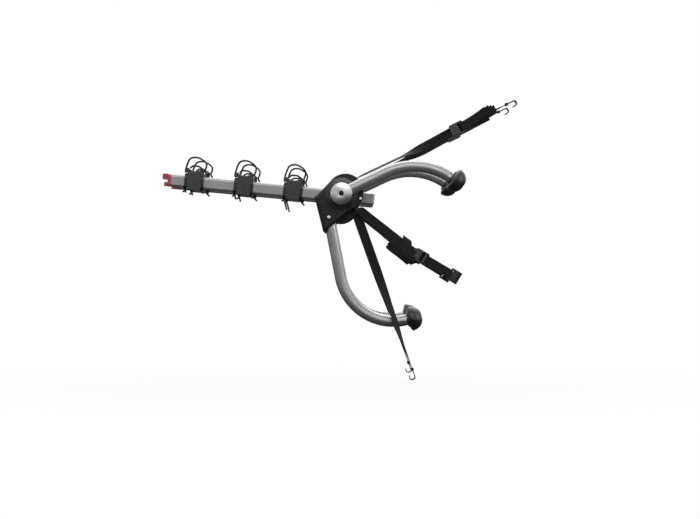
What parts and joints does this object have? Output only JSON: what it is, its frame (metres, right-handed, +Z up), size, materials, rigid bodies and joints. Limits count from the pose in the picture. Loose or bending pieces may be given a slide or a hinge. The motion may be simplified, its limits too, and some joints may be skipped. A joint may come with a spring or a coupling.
{
  "type": "trunk mounted bike rack",
  "caption": "Strap-on bicycle carrier for a car's boot lid, with folding arms, tube cradles, padded legs and webbing straps with cam buckles and hooks.",
  "frame": {"origin": "on the hub axis, midway between the two hubs", "axes": "+X forward to the car, +Y to the car's left along the hub axis, +Z up"},
  "size_m": [1.1229, 0.6708, 0.8811],
  "materials": {
    "silver_paint": "satin metallic powder coat",
    "black_paint": "satin black powder coat",
    "disc_paint": "dark grey satin",
    "cap_metal": "turned, satin",
    "zinc": "bright zinc plate",
    "pad_rubber": "smooth moulded rubber",
    "nylon": "natural nylon",
    "red_plastic": "moulded red plastic",
    "cradle_plastic": "moulded black plastic",
    "strap_rubber": "soft black rubber",
    "webbing": "woven black webbing",
    "buckle_metal": "black coated steel",
    "hook_coating": "black vinyl-coated steel"
  },
  "bodies": {
    "frame": {"hub_axle": "zinc", "axle_nuts": "zinc", "axle_spacers": "zinc", "hub_bracket_right": "black_paint", "hub_bracket_left": "black_paint", "strap_pins": "buckle_metal", "plate_rivets": "zinc", "lower_leg_right": "silver_paint", "lower_leg_left": "silver_paint", "leg_bolts": "zinc", "lower_pad_right": "pad_rubber", "lower_pad_left": "pad_rubber", "lower_pad_screws": "zinc", "top_strap_right": "webbing", "top_strap_left": "webbing", "top_buckle_right": "buckle_metal", "top_buckle_left": "buckle_metal", "side_strap_right": "webbing", "side_strap_left": "webbing", "side_buckle_right": "buckle_metal", "side_buckle_left": "buckle_metal", "buckle_pins": "zinc", "lower_strap_right": "webbing", "lower_strap_left": "webbing", "car_hooks": "hook_coating"},
    "arms": {"cross_tube": "silver_paint", "cross_tube_bushes": "nylon", "carrier_arm_right": "silver_paint", "carrier_arm_left": "silver_paint", "arm_end_cap_right": "red_plastic", "arm_end_cap_left": "red_plastic", "cradle_1_right": "cradle_plastic", "cradle_1_left": "cradle_plastic", "cradle_2_right": "cradle_plastic", "cradle_2_left": "cradle_plastic", "cradle_3_right": "cradle_plastic", "cradle_3_left": "cradle_plastic", "cradle_screws": "buckle_metal", "keeper_straps_right": "strap_rubber", "keeper_straps_left": "strap_rubber"},
    "upper_leg_right": {"upper_leg_right": "silver_paint", "clutch_disc_right": "disc_paint", "hub_cap_right": "cap_metal", "upper_pad_right": "pad_rubber", "upper_pad_screw_right": "zinc"},
    "upper_leg_left": {"upper_leg_left": "silver_paint", "clutch_disc_left": "disc_paint", "hub_cap_left": "cap_metal", "upper_pad_left": "pad_rubber", "upper_pad_screw_left": "zinc"},
    "tall_strap_1_right": {"tall_strap_1_right": "strap_rubber"},
    "tall_strap_1_left": {"tall_strap_1_left": "strap_rubber"},
    "tall_strap_2_right": {"tall_strap_2_right": "strap_rubber"},
    "tall_strap_2_left": {"tall_strap_2_left": "strap_rubber"},
    "tall_strap_3_right": {"tall_strap_3_right": "strap_rubber"},
    "tall_strap_3_left": {"tall_strap_3_left": "strap_rubber"},
    "top_lever_right": {"top_lever_right": "buckle_metal"},
    "top_lever_left": {"top_lever_left": "buckle_metal"},
    "side_lever_right": {"side_lever_right": "buckle_metal"},
    "side_lever_left": {"side_lever_left": "buckle_metal"}
  },
  "joints": [
    {"name": "arms_fold", "type": "hinge", "parent": "frame", "child": "arms", "pos_m": [0, 0, 0], "axis": [0, -1, 0], "range_deg": [0, 80]},
    {"name": "upper_leg_right_turn", "type": "hinge", "parent": "frame", "child": "upper_leg_right", "pos_m": [0, -0.2619, 0], "axis": [0, -1, 0], "range_deg": [-25, 95]},
    {"name": "upper_leg_left_turn", "type": "hinge", "parent": "frame", "child": "upper_leg_left", "pos_m": [0, 0.2619, 0], "axis": [0, -1, 0], "range_deg": [-25, 95]},
    {"name": "tall_strap_1_right_swing", "type": "hinge", "parent": "arms", "child": "tall_strap_1_right", "pos_m": [-0.49239, -0.172, 0.0738], "axis": [0, -1, 0], "range_deg": [0, 85]},
    {"name": "tall_strap_1_left_swing", "type": "hinge", "parent": "arms", "child": "tall_strap_1_left", "pos_m": [-0.49239, 0.172, 0.0738], "axis": [0, -1, 0], "range_deg": [0, 85]},
    {"name": "tall_strap_2_right_swing", "type": "hinge", "parent": "arms", "child": "tall_strap_2_right", "pos_m": [-0.33549, -0.172, 0.05896], "axis": [0, -1, 0], "range_deg": [0, 85]},
    {"name": "tall_strap_2_left_swing", "type": "hinge", "parent": "arms", "child": "tall_strap_2_left", "pos_m": [-0.33549, 0.172, 0.05896], "axis": [0, -1, 0], "range_deg": [0, 85]},
    {"name": "tall_strap_3_right_swing", "type": "hinge", "parent": "arms", "child": "tall_strap_3_right", "pos_m": [-0.17859, -0.172, 0.04413], "axis": [0, -1, 0], "range_deg": [0, 85]},
    {"name": "tall_strap_3_left_swing", "type": "hinge", "parent": "arms", "child": "tall_strap_3_left", "pos_m": [-0.17859, 0.172, 0.04413], "axis": [0, -1, 0], "range_deg": [0, 85]},
    {"name": "top_lever_right_lift", "type": "hinge", "parent": "frame", "child": "top_lever_right", "pos_m": [0.36713, -0.2153, 0.20726], "axis": [-0.4414, 0, 0.8973], "range_deg": [0, 50], "stiffness_Nm_per_rad": 0.06, "springref_deg": -28.65},
    {"name": "top_lever_left_lift", "type": "hinge", "parent": "frame", "child": "top_lever_left", "pos_m": [0.36713, 0.2153, 0.20726], "axis": [0.4414, 0, -0.8973], "range_deg": [0, 50], "stiffness_Nm_per_rad": 0.06, "springref_deg": -28.65},
    {"name": "side_lever_right_lift", "type": "hinge", "parent": "frame", "child": "side_lever_right", "pos_m": [0.24701, -0.29615, -0.19592], "axis": [0.516, 0, 0.8566], "range_deg": [0, 50], "stiffness_Nm_per_rad": 0.06, "springref_deg": -28.65},
    {"name": "side_lever_left_lift", "type": "hinge", "parent": "frame", "child": "side_lever_left", "pos_m": [0.24701, 0.29615, -0.19592], "axis": [-0.516, 0, -0.8566], "range_deg": [0, 50], "stiffness_Nm_per_rad": 0.06, "springref_deg": -28.65}
  ]
}
